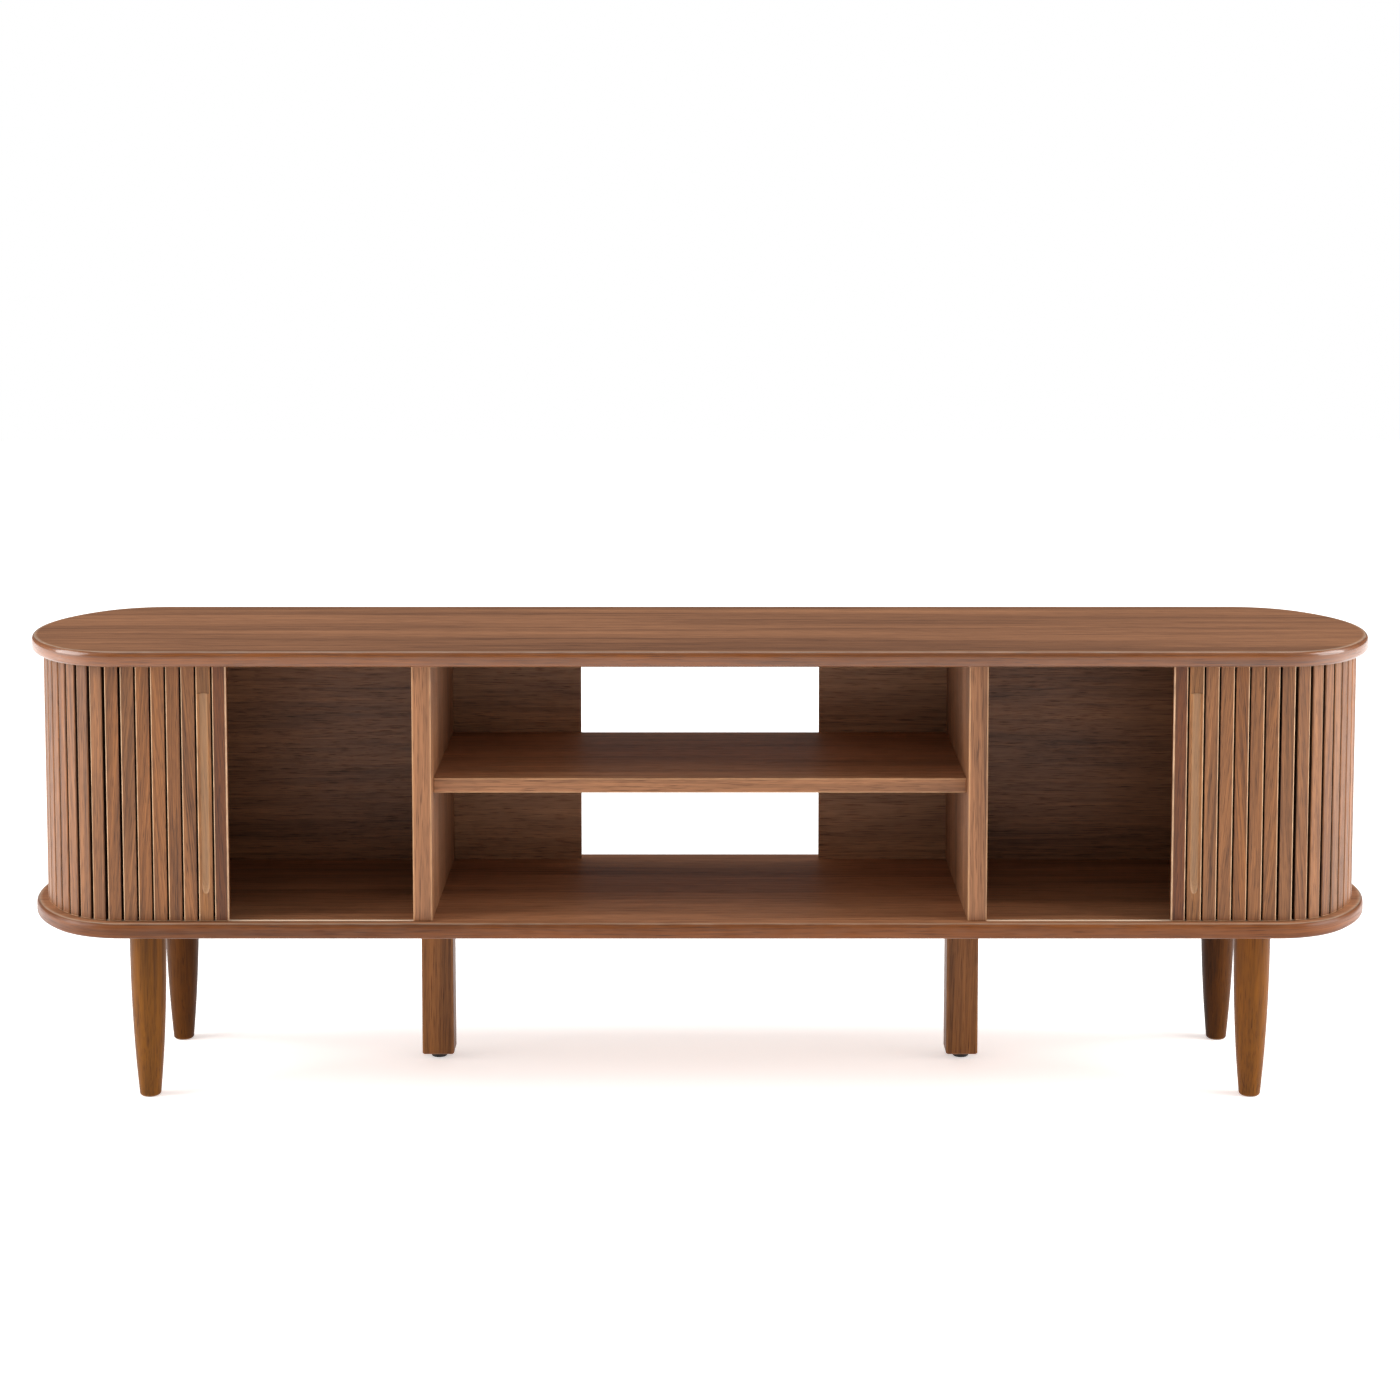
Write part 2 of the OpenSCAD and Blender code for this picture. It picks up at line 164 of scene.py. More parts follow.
# Figured wood on coordinates that run (along, across, into) the grain, in metres.
# Wide bands, growth lines that follow the bands' contours, fine fibre and dark pores are added up.
# Marks give the tone of the board, its worn arris and its bare core (above 0) or glue line (below 0); the
# worn arris is a painted highlight on lit chamfers, the bare core is painted light in the slab's groove and
# partly in the handle's recess, and below 0 is also painted shade on the slats' side walls and at the
# recess's head.
def makeFiguredWood():
    group, got, put = newGroup("figuredWood", [
        ("Grain", "Vector", None), ("Marks", "Vector", None),
        ("Light", "Color", (0.4, 0.2, 0.1, 1)), ("Dark", "Color", (0.1, 0.05, 0.02, 1)),
        ("Warm", "Color", (0.4, 0.2, 0.1, 1)), ("Bare", "Color", (0.7, 0.5, 0.35, 1)),
        ("Bands", "Float", 1.0), ("Lines", "Float", 1.0), ("Pores", "Float", 0.4),
        ("Gloss", "Float", 0.4), ("Polish", "Float", 0.0),
        ("Fine", "Float", 1.0), ("Lacquer", "Float", 0.0),
    ], [("Color", "Color"), ("Roughness", "Float"), ("Coat", "Float"), ("Height", "Float")])
    grain = addNode(group, "VectorMath", {0: got["Grain"], 3: got["Fine"]}, operation="SCALE").outputs[0]
    marks = addNode(group, "SeparateXYZ", {0: got["Marks"]}).outputs
    swayInputs = {"Vector": stretched(group, grain, figure["swaySize"]), "Scale": 1.0, "Detail": 1.0}
    sway = addNode(group, "TexNoise", swayInputs).outputs["Color"]
    swayedInputs = {0: sway, 1: figure["swayReach"], 2: grain}
    swayed = addNode(group, "VectorMath", swayedInputs, operation="MULTIPLY_ADD").outputs[0]
    bands = noise(group, swayed, figure["bandSize"], 3.0, 0.5)
    lines = noise(group, swayed, figure["lineSize"], 4.0, 0.72)
    fibre = noise(group, swayed, figure["fibreSize"], 2.0, 0.6)
    pores = noise(group, swayed, figure["poreSize"], 1.0, 0.5)
    patchy = noise(group, grain, figure["patchSize"], 2.0, 0.5)
    contour = maths(group, "SINE", maths(group, "MULTIPLY", bands, figure["contours"]))
    pore = addNode(group, "MapRange", {0: pores, 1: figure["poreFrom"], 2: figure["poreTo"]}).outputs[0]
    share = 0.5
    for layer, level, strength in (
        (maths(group, "SUBTRACT", bands, 0.5), "Bands", figure["bandShare"]),
        (contour, "Bands", figure["contourShare"]),
        (maths(group, "SUBTRACT", lines, 0.5), "Lines", figure["lineShare"]),
    ):
        amount = maths(group, "MULTIPLY", got[level], strength)
        share = maths(group, "MULTIPLY_ADD", layer, amount, share)
    fibreLayer = maths(group, "SUBTRACT", fibre, 0.5)
    share = maths(group, "MULTIPLY_ADD", fibreLayer, figure["fibreShare"], share, clamp=True)
    wood = mixed(group, share, got["Dark"], got["Light"])
    wood = mixed(group, marks["X"], wood, mixed(group, 1.0, wood, got["Warm"], "MULTIPLY"))
    inPores = mixed(group, 1.0, wood, figure["poreTint"], "MULTIPLY")
    wood = mixed(group, maths(group, "MULTIPLY", pore, got["Pores"]), wood, inPores)
    # Worn arrises mix in the bare colour: real wear, and painted highlight on the slats' lit chamfers and
    # ends and on the slabs' crisp arris
    wearAndHighlight = maths(group, "MULTIPLY", marks["Y"], maths(group, "MULTIPLY_ADD", patchy, 1.1, 0.1), clamp=True)
    wood = mixed(group, wearAndHighlight, wood, mixed(group, figure["wornShare"], wood, got["Bare"]))
    # Marks above 0 mix in the bare colour: the bare core, painted highlight on the slab groove's lip and
    # walls, and partly painted light in the handle's recess
    bare = maths(group, "MULTIPLY", marks["Z"], maths(group, "MULTIPLY_ADD", fibre, 0.5, 0.75), clamp=True)
    wood = mixed(group, bare, wood, got["Bare"])
    # Marks below 0 darken with the glue tint: glue lines, and painted shade on the slats' gap walls and at
    # the recess's head
    darkening = maths(group, "MULTIPLY", marks["Z"], -1.0, clamp=True)
    wood = mixed(group, darkening, wood, mixed(group, 1.0, wood, figure["glueTint"], "MULTIPLY"))
    rough = maths(group, "MULTIPLY_ADD", pore, figure["poreRough"], got["Gloss"])
    rough = maths(group, "MULTIPLY_ADD", fibre, figure["fibreRough"], rough)
    rough = maths(group, "MULTIPLY_ADD", wearAndHighlight, figure["wornRough"], rough)
    rough = maths(group, "MULTIPLY_ADD", marks["X"], got["Polish"], rough, clamp=True)
    height = maths(group, "MULTIPLY", lines, figure["lineHeight"])
    height = maths(group, "MULTIPLY_ADD", fibre, figure["fibreHeight"], height)
    height = maths(group, "MULTIPLY_ADD", pore, figure["poreHeight"], height)
    group.links.new(wood, put["Color"])
    group.links.new(rough, put["Roughness"])
    group.links.new(maths(group, "MULTIPLY", marks["X"], got["Lacquer"]), put["Coat"])
    group.links.new(height, put["Height"])
    return group


# A material that has only its shader. The values given are the same all over, so they sit on the shader.
def newMaterial(name, shader):
    material = bpy.data.materials.new(name)
    material.use_nodes = True
    tree = material.node_tree
    tree.nodes.clear()
    surface = addNode(tree, "BsdfPrincipled", shader)
    addNode(tree, "OutputMaterial", {"Surface": surface.outputs["BSDF"]})
    return material, tree, surface


# A height that changes over the surface, as a bump of the given depth in metres
def bumped(tree, surface, height, distance):
    bump = addNode(tree, "Bump", {"Height": height, "Distance": distance, "Strength": 1.0})
    tree.links.new(bump.outputs["Normal"], surface.inputs["Normal"])


figuredWood = makeFiguredWood()


# Wood whose grain comes from the piece's own attributes, or from Object coordinates turned to run
# along Z or X
def woodMaterial(name, values, along=None):
    shader = {"Specular IOR Level": values.get("shine", 0.35), "Coat Roughness": 0.16}
    material, tree, surface = newMaterial(name, shader)
    if along is None:
        grain = addNode(tree, "Attribute", attribute_name="grain").outputs["Vector"]
        marks = addNode(tree, "Attribute", attribute_name="marks").outputs["Vector"]
    else:
        place = addNode(tree, "TexCoord").outputs["Object"]
        turn = (0, math.pi / 2, 0) if along == "Z" else (0, 0, 0)
        grain = addNode(tree, "Mapping", {"Vector": place, "Rotation": turn}).outputs[0]
        marks = (0.4, 0, 0)    # a middle tone, unworn, with no core or glue
    inputs = {
        "Grain": grain, "Marks": marks, "Polish": values.get("polish", 0.0),
        "Fine": values.get("fine", 1.0), "Lacquer": values.get("lacquer", 0.0),
    }
    for key in ("Light", "Dark", "Warm", "Bare", "Bands", "Lines", "Pores", "Gloss"):
        inputs[key] = values[key.lower()]
    wood = addNode(tree, "Group", inputs, node_tree=figuredWood)
    tree.links.new(wood.outputs["Color"], surface.inputs["Base Color"])
    tree.links.new(wood.outputs["Roughness"], surface.inputs["Roughness"])
    tree.links.new(wood.outputs["Coat"], surface.inputs["Coat Weight"])
    bumped(tree, surface, wood.outputs["Height"], values["bump"])
    return material


# A colour with channels from 0 to 255 as the linear colour that a socket takes:
# ((c + 0.055) / 1.055) ** 2.4, or c / 12.92 where c is small
def srgb(red, green, blue):
    levels = np.array([red, green, blue]) / 255
    linear = np.where(levels <= 0.04045, levels / 12.92, ((levels + 0.055) / 1.055) ** 2.4)
    return (*[float(level) for level in linear], 1)


# Warm multiplies the wood where the tone is 1; topSlab and bottomSlab give the slabs' own. The pale bare
# colours also serve as painted highlight: on lit arrises, and on the slabs' groove lip and walls.
slabWood = {
    "light": srgb(164, 112, 76), "dark": srgb(92, 57, 36), "bare": srgb(255, 232, 205),
    "bands": 0.65, "lines": 1.0, "pores": 0.6, "gloss": 0.36, "polish": -0.10, "shine": 0.3,
    "bump": 0.00012,
}
boardWood = {
    "light": srgb(168, 116, 80), "dark": srgb(88, 55, 35), "bare": srgb(228, 180, 132),
    "warm": (1.04, 0.94, 0.78, 1), "bands": 0.55, "lines": 1.05, "pores": 0.8, "gloss": 0.36, "fine": 1.3,
    "bump": 0.00012,
}
slatWood = {
    "light": srgb(150, 99, 59), "dark": srgb(64, 36, 18), "bare": srgb(255, 212, 168),
    "warm": (1.14, 1.0, 0.72, 1), "bands": 0.5, "lines": 1.15, "pores": 0.9, "gloss": 0.38, "fine": 1.7,
    "bump": 0.00012,
}
legWood = {
    "light": srgb(124, 74, 8), "dark": srgb(62, 34, 3), "bare": srgb(196, 140, 84),
    "warm": (1.0, 0.92, 0.80, 1), "bands": 0.8, "lines": 0.9, "pores": 0.6, "gloss": 0.34, "shine": 0.15,
    "bump": 0.0001,
}
beechWood = {
    "light": srgb(222, 186, 140), "dark": srgb(186, 146, 104), "bare": srgb(230, 200, 160),
    "warm": (1.0, 0.95, 0.88, 1), "bands": 0.5, "lines": 0.6, "pores": 0.5, "gloss": 0.5, "bump": 0.00008,
}
# The two near-black colours on the canvas's side towards the slats are painted shade for the gaps between
# the slats
canvasCloth = {
    "thread": srgb(118, 90, 64), "shadow": srgb(70, 50, 35), "fuzz": (900, 900, 900),
    "glued": srgb(26, 18, 15), "gluedShadow": srgb(9, 6, 5),
    "halfThick": 0.00025, "perMetre": 1150.0, "rough": 0.92, "bump": 0.0003,
}
zincSteel = {
    "dull": srgb(150, 152, 156), "bright": srgb(206, 206, 204), "scratches": (200, 200, 4000),
    "spots": (160, 160, 160), "bump": 0.00002,
}
blackPlastic = {
    "black": srgb(22, 20, 19), "dusty": srgb(50, 45, 41), "pebbles": (1800, 1800, 1800),
    "dust": (90, 90, 90), "bump": 0.00006,
}


# Two threads at right angles: each is a rounded wave across its width, broken by the other's wave along it.
# The side towards the slats, where the depth is below half of the canvas's thickness, is coloured
# near-black: painted shade for the gaps between the slats.
def canvasMaterial():
    shader = {"Roughness": canvasCloth["rough"], "Specular IOR Level": 0.2}
    material, tree, surface = newMaterial("canvas", shader)
    grain = addNode(tree, "Attribute", attribute_name="grain").outputs["Vector"]
    axes = addNode(tree, "SeparateXYZ", {0: grain}).outputs
    turns = canvasCloth["perMetre"] * math.pi
    warp = maths(tree, "ABSOLUTE", maths(tree, "SINE", maths(tree, "MULTIPLY", axes["X"], turns)))
    weft = maths(tree, "ABSOLUTE", maths(tree, "SINE", maths(tree, "MULTIPLY", axes["Y"], turns)))
    over = maths(tree, "MULTIPLY", warp, weft)
    fuzz = noise(tree, grain, canvasCloth["fuzz"], 2.0, 0.6)
    share = maths(tree, "MULTIPLY_ADD", fuzz, 0.35, maths(tree, "MULTIPLY", over, 0.7), clamp=True)
    inner = maths(tree, "GREATER_THAN", axes["Z"], canvasCloth["halfThick"])
    # the side towards the slats is near-black: painted shade seen through the gaps
    gapShadedColour = mixed(tree, share, canvasCloth["gluedShadow"], canvasCloth["glued"])
    innerColour = mixed(tree, share, canvasCloth["shadow"], canvasCloth["thread"])
    tree.links.new(mixed(tree, inner, gapShadedColour, innerColour), surface.inputs["Base Color"])
    bumped(tree, surface, over, canvasCloth["bump"])
    return material


# Brushed zinc: scratches that are short up the axis and long round it, and spots that are paler and duller
def zincMaterial():
    material, tree, surface = newMaterial("zincSteel", {"Metallic": 1.0})
    place = addNode(tree, "TexCoord").outputs["Object"]
    scratches = noise(tree, place, zincSteel["scratches"], 2.0, 0.6)
    spots = noise(tree, place, zincSteel["spots"], 3.0, 0.6)
    colour = mixed(tree, spots, zincSteel["dull"], zincSteel["bright"])
    tree.links.new(colour, surface.inputs["Base Color"])
    tree.links.new(maths(tree, "MULTIPLY_ADD", spots, 0.3, 0.2), surface.inputs["Roughness"])
    bumped(tree, surface, scratches, zincSteel["bump"])
    return material


# Moulded plastic: a pebbled skin, and dust that dulls it in patches
def plasticMaterial():
    material, tree, surface = newMaterial("blackPlastic", {"Specular IOR Level": 0.4})
    place = addNode(tree, "TexCoord").outputs["Object"]
    pebbles = noise(tree, place, blackPlastic["pebbles"], 1.0, 0.5)
    dust = noise(tree, place, blackPlastic["dust"], 3.0, 0.6)
    colour = mixed(tree, dust, blackPlastic["black"], blackPlastic["dusty"])
    tree.links.new(colour, surface.inputs["Base Color"])
    tree.links.new(maths(tree, "MULTIPLY_ADD", dust, 0.3, 0.4), surface.inputs["Roughness"])
    bumped(tree, surface, pebbles, blackPlastic["bump"])
    return material


# Matt painted floor: barely uneven in tone and sheen, with a glow that grows with distance from the middle
def floorMaterial():
    material, tree, surface = newMaterial("paleFloor", {"Specular IOR Level": 0.1})
    place = addNode(tree, "TexCoord").outputs["Object"]
    cloud = noise(tree, place, (1.5, 1.5, 1.5), 3.0, 0.5)
    tint = mixed(tree, cloud, backdrop["floorColour"], backdrop["floorPatches"])
    tree.links.new(tint, surface.inputs["Base Color"])
    tree.links.new(maths(tree, "MULTIPLY_ADD", cloud, 0.1, 0.8), surface.inputs["Roughness"])
    reach = addNode(tree, "VectorMath", {0: place}, operation="LENGTH").outputs["Value"]
    low, high = backdrop["glow"]
    glowInputs = {0: reach, 1: backdrop["glowFrom"], 2: backdrop["glowTo"], 3: low, 4: high}
    glow = addNode(tree, "MapRange", glowInputs, interpolation_type="SMOOTHSTEP")
    lit = mixed(tree, glow.outputs[0], (0, 0, 0, 1), (1, 1, 1, 1))
    tree.links.new(lit, surface.inputs["Emission Color"])
    surface.inputs["Emission Strength"].default_value = 1.0
    return material


finishes = {
    "topSlab": woodMaterial("walnutTopSlab", {**slabWood, "lacquer": 0.6, "warm": (0.66, 0.40, 0.05, 1)}),
    # The bottom slab's band takes a darker warm than the top slab's: painted shade that offsets the light
    # bounced up from the pale floor
    "bottomSlab": woodMaterial("walnutBottomSlab", {
        **slabWood, "light": srgb(178, 123, 86), "dark": srgb(104, 66, 43), "shine": 0.2,
        "warm": (0.46, 0.28, 0.08, 1),
    }),
    "board": woodMaterial("walnutBoards", {
        **boardWood, "light": srgb(184, 128, 89), "dark": srgb(98, 62, 40), "warm": (0.82, 0.78, 0.70, 1),
    }),
    "back": woodMaterial("walnutBayBacks", {**boardWood, "lines": 0.95, "bands": 0.5}),
    "post": woodMaterial("walnutCentreLegs", {
        **boardWood, "light": srgb(138, 90, 47), "dark": srgb(72, 42, 18), "bare": srgb(160, 112, 72),
        "shine": 0.2,
    }),
    # The centre bay's backs are a lighter copy of the board wood: painted light that lifts the shade inside
    # the open centre bay
    "paleBack": woodMaterial("walnutCentreBacks", {
        **boardWood, "lines": 0.9, "bands": 0.5, "light": srgb(183, 136, 99), "dark": srgb(111, 76, 52),
    }),
    "slat": woodMaterial("walnutSlats", slatWood),
    "stile": woodMaterial("walnutStiles", {
        **slatWood, "light": srgb(114, 64, 30), "dark": srgb(56, 29, 12),
    }),
    "handle": woodMaterial("walnutHandles", {
        **slatWood, "light": srgb(158, 108, 64), "dark": srgb(84, 51, 27),
    }),
    "leg": woodMaterial("roundLegWood", legWood),
    # The rear legs are a darker copy of the leg wood: painted shade, as they stand in the cabinet's shadow
    "rearLeg": woodMaterial("rearLegWood", {
        **legWood, "light": srgb(88, 48, 4), "dark": srgb(44, 22, 2), "shine": 0.1,
    }),
    "beechUpright": woodMaterial("beechUpright", beechWood, "Z"),
    "beechAcross": woodMaterial("beechAcross", beechWood, "X"),
    "canvas": canvasMaterial(),
    "zinc": zincMaterial(),
    "plastic": plasticMaterial(),
}
print("finishes made,", len(finishes))


# Values of a skin's rings as the values at the lower and the upper edge of each band between two rings
def perBand(values):
    closed = np.concatenate([values, values[:, :1]], axis=1)
    return np.stack([closed[:-1], closed[1:]], axis=1)


# A closed skin through a stack of rings: neighbours are joined by a band of quads, the end rings are filled.
# rings is (rings, points, 3); grain and marks are (bands, 2, points + 1, 3), each corner's own values.
def skin(rings, grain, marks):
    count, points = rings.shape[:2]
    here = np.arange(points)
    after = (here + 1) % points
    start = (np.arange(count - 1) * points)[:, None]
    quads = np.stack([start + here, start + after, start + points + after, start + points + here], axis=-1)
    corners = []
    for values in (grain, marks):
        sides = np.stack([values[:, 0, :-1], values[:, 0, 1:], values[:, 1, 1:], values[:, 1, :-1]], axis=2)
        corners.append(np.concatenate([sides.reshape(-1, 3), values[0, 0, :-1][::-1], values[-1, 1, :-1]]))
    faces = quads.reshape(-1, 4).tolist() + [here[::-1].tolist(), (here + (count - 1) * points).tolist()]
    return {"points": rings.reshape(-1, 3), "faces": faces, "grain": corners[0], "marks": corners[1]}


# One piece from several skins in a row, smooth but for the edges sharper than the given angle
def makePiece(name, skins, finish, body, replaces=(), sharp=28):
    first, faces = 0, []
    for part in skins:
        faces += [[corner + first for corner in face] for face in part["faces"]]
        first += len(part["points"])
    mesh = bpy.data.meshes.new(name)
    mesh.from_pydata(np.concatenate([part["points"] for part in skins]).tolist(), [], faces)
    for key in ("grain", "marks"):
        layer = mesh.attributes.new(key, "FLOAT_VECTOR", "CORNER")
        values = np.concatenate([part[key] for part in skins])
        layer.data.foreach_set("vector", values.astype(np.float32).ravel())
    mesh.polygons.foreach_set("use_smooth", np.ones(len(faces), dtype=bool))
    mesh.set_sharp_from_angle(angle=math.radians(sharp))
    mesh.materials.append(finishes[finish])
    piece = bpy.data.objects.new(name, mesh)
    bpy.context.scene.collection.objects.link(piece)
    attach(piece, body)
    if replaces:
        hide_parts(*replaces)


# Where a board was cut from the log: a far-off start of its own, how far its grain leans, and its tone
def newCut(lean=0.0):
    return {"start": draw.uniform(-40, 40, 3), "lean": draw.uniform(-lean, lean), "tone": draw.uniform()}


# Rounded rectangle: four corner arcs, each with a support point on the flats just before and after it
def roundedRectangle(lowU, highU, lowV, highV, radius, steps=4, support=0.0008):
    angles = np.radians(np.linspace(0, 90, steps + 1))
    outline = []
    for turn, u, v in ((180, lowU, lowV), (270, highU, lowV), (0, highU, highV), (90, lowU, highV)):
        way = angles + math.radians(turn)
        cu = u + radius * (1 if u == lowU else -1)
        cv = v + radius * (1 if v == lowV else -1)
        arc = np.stack([cu + radius * np.cos(way), cv + radius * np.sin(way)], axis=-1)
        before = arc[0] + support * np.array([math.sin(way[0]), -math.cos(way[0])])
        beyond = arc[-1] + support * np.array([-math.sin(way[-1]), math.cos(way[-1])])
        outline += [before[None], arc, beyond[None]]
    return np.concatenate(outline)


# Flat rings of points, each with its own height as their third value
def raised(flat, heights):
    return np.concatenate([flat, np.broadcast_to(heights[:, None, None], flat.shape[:2] + (1,))], axis=-1)


boardLook = {
    "lean": 0.03, "endShare": 0.7, "plainTone": 0.4, "facedTone": 0.0, "arrisWear": 0.55, "endWear": 0.6,
    "glueLine": -0.7, "glueFrom": 0.98, "glueTo": 1.02,
    "cornerPoints": 7,    # an arc of five points and a support point on each side of it
}


# A board between two corners: the rounded rectangle across the axis is carried along it, and is drawn in at
# both ends. Its front band, where it has one, takes the band's tone, with a glue line where the face begins.
def boardSkin(low, high, axis, radius, cut, bandTone=None):
    low, high = np.array(low), np.array(high)
    order = {"z": [0, 1, 2], "x": [1, 2, 0]}[axis]
    lowU, lowV, lowW = low[order]
    highU, highV, highW = high[order]
    outline = roundedRectangle(lowU, highU, lowV, highV, radius)
    middle = np.array([(lowU + highU) / 2, (lowV + highV) / 2])
    half = np.array([(highU - lowU) / 2, (highV - lowV) / 2])
    end = radius * boardLook["endShare"]
    stations = np.array([lowW, lowW + end, lowW + 2 * end, highW - 2 * end, highW - end, highW])
    drawn = np.array([end, 0, 0, 0, 0, end])
    factor = 1 - drawn[:, None, None] / half
    local = raised(middle + (outline - middle) * factor, stations)
    rings = local[..., np.argsort(order)]
    across = local[..., 0] + local[..., 2] * cut["lean"]
    grain = np.stack([local[..., 2], across, local[..., 1]], axis=-1) + cut["start"]
    tone = boardLook["plainTone"] if bandTone is None else boardLook["facedTone"]
    place = np.arange(len(outline)) % boardLook["cornerPoints"]
    onArc = (place > 0) & (place < boardLook["cornerPoints"] - 1)
    marks = np.zeros(rings.shape)
    marks[..., 0] = tone
    marks[..., 1] = np.where(onArc, boardLook["arrisWear"], 0.0)
    marks[[0, -1], :, 1] = boardLook["endWear"]
    if bandTone is not None:
        y = rings[..., 1]
        inBand = y < low[1] + radius * boardLook["glueTo"]
        inGlue = inBand & (y > low[1] + radius * boardLook["glueFrom"])
        marks[..., 0] = np.where(inBand, bandTone, tone)
        marks[..., 2] = np.where(inGlue, boardLook["glueLine"], 0.0)
    return skin(rings, perBand(grain), perBand(marks))


# A round is how far the edge goes in and how far down; crispness is the angle at which it leaves the face
slab = {
    "cornerRadius": 0.110, "endRadius": 0.207, "cornerSteps": 14, "endSteps": 30,
    "upperRound": (0.0034, 0.0060), "lowerRound": (0.0030, 0.0040), "crispness": 24, "edgeRows": 7,
    "grooveWidth": 0.0044, "grooveDepth": 0.0060, "nick": 0.00005, "middleInset": 0.3,
    # The wear at the crisp arris and at the face's rim is a painted highlight, the bright line beside the
    # dark glue line
    "faceTone": 0.0, "bandTone": 1.0, "glueWear": 0.9, "glueLine": -0.55, "bandWear": 0.04,
    "rimWear": 0.35, "rimInset": 0.0007, "innerInset": 0.004,
}
slabLow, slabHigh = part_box("bottom_slab")
topLow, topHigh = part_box("top_slab")
stileLow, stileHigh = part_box("right_door_stile")
cabinetHalf = slabHigh.x
depthHalf = slabHigh.y
slatOut = stileLow.y     # outer face of the slats on the front
slatIn = stileHigh.y     # canvas line behind them
slatThick = slatIn - slatOut
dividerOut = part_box("right_divider")[1].x
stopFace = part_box("door_stops")[1].x

endX = cabinetHalf - slab["endRadius"]
cornerY = depthHalf - slab["cornerRadius"]
cornerX = endX + math.sqrt((slab["endRadius"] - slab["cornerRadius"]) ** 2 - cornerY ** 2)
meetAngle = math.atan2(cornerY, cornerX - endX)


# The slab's outline as each point's centre, radius and direction, so that an inset only shortens the radius.
# It runs anticlockwise from the rear, where its edge band is joined; grooved is 1 over a door's track.
def ovalOutline():
    cornerSteps, endSteps, nick = slab["cornerSteps"], slab["endSteps"], slab["nick"]
    quarter = math.pi / 2
    rows = []

    # The points of an arc but for its last one, which the next stretch begins with
    def arc(cx, cy, radius, start, stop, steps):
        for way in np.linspace(start, stop, steps + 1)[:-1]:
            rows.append((cx, cy, radius, way, 1.0))

    # The points of a long side, grooved where they are farther out than the reach
    def straight(xs, side, way, reach):
        for x in xs:
            rows.append((x, side * cornerY, slab["cornerRadius"], way, 1.0 if abs(x) > reach else 0.0))

    front = [-cornerX, -dividerOut - nick, -dividerOut, dividerOut, dividerOut + nick]
    rear = [cornerX, stopFace + nick, stopFace, -stopFace, -stopFace - nick]
    straight(front, -1, -quarter, dividerOut + nick / 2)
    for turn, cx, ex in ((0, cornerX, endX), (math.pi, -cornerX, -endX)):
        sign = 1 if turn == 0 else -1
        arc(cx, -sign * cornerY, slab["cornerRadius"], turn - quarter, turn - meetAngle, cornerSteps)
        arc(ex, 0, slab["endRadius"], turn - meetAngle, turn + meetAngle, endSteps)
        arc(cx, sign * cornerY, slab["cornerRadius"], turn + meetAngle, turn + quarter, cornerSteps)
        if sign == 1:
            straight(rear, 1, quarter, stopFace + nick / 2)
    rearStart = len(front) + 2 * cornerSteps + endSteps + rear.index(-stopFace)
    table = np.roll(np.array(rows), -rearStart, axis=0)
    way = np.stack([np.cos(table[:, 3]), np.sin(table[:, 3])], axis=-1)
    return {"centre": table[:, :2], "radius": table[:, 2], "way": way, "grooved": table[:, 4]}


